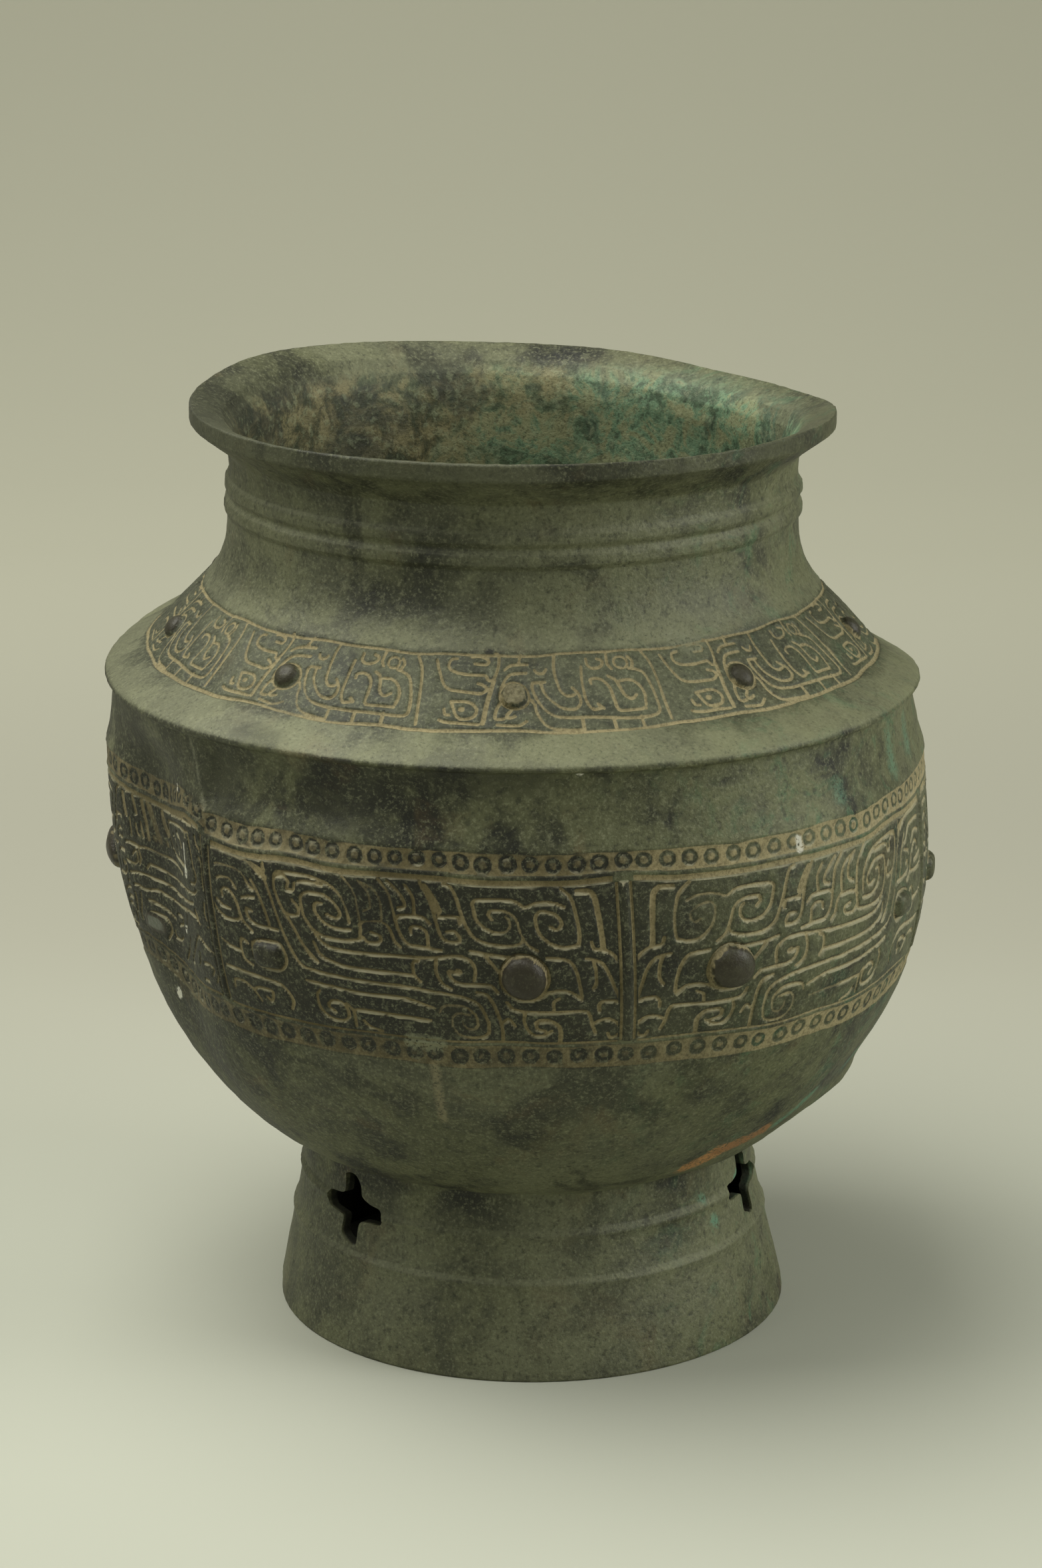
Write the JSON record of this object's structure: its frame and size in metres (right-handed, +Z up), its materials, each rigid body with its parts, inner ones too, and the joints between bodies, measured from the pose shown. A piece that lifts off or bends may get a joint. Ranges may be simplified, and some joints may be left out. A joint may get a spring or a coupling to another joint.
{
  "type": "bronze lei wine vessel",
  "caption": "Cast bronze jar with a flared lip, sloping carved shoulder, round belly with a mask band, and a ring foot pierced by cross-shaped holes.",
  "frame": {"origin": "centre of the footprint of the whole jar, on the plane it stands on", "axes": "+Z up through the mouth, -Y towards the side that the picture shows, +X to the right of that view"},
  "size_m": [0.292, 0.2932, 0.3299],
  "materials": {
    "bronze": "old dark bronze with a green-grey patina and tan soil in the grooves"
  },
  "bodies": {
    "root": {"vessel": "bronze"}
  },
  "joints": []
}
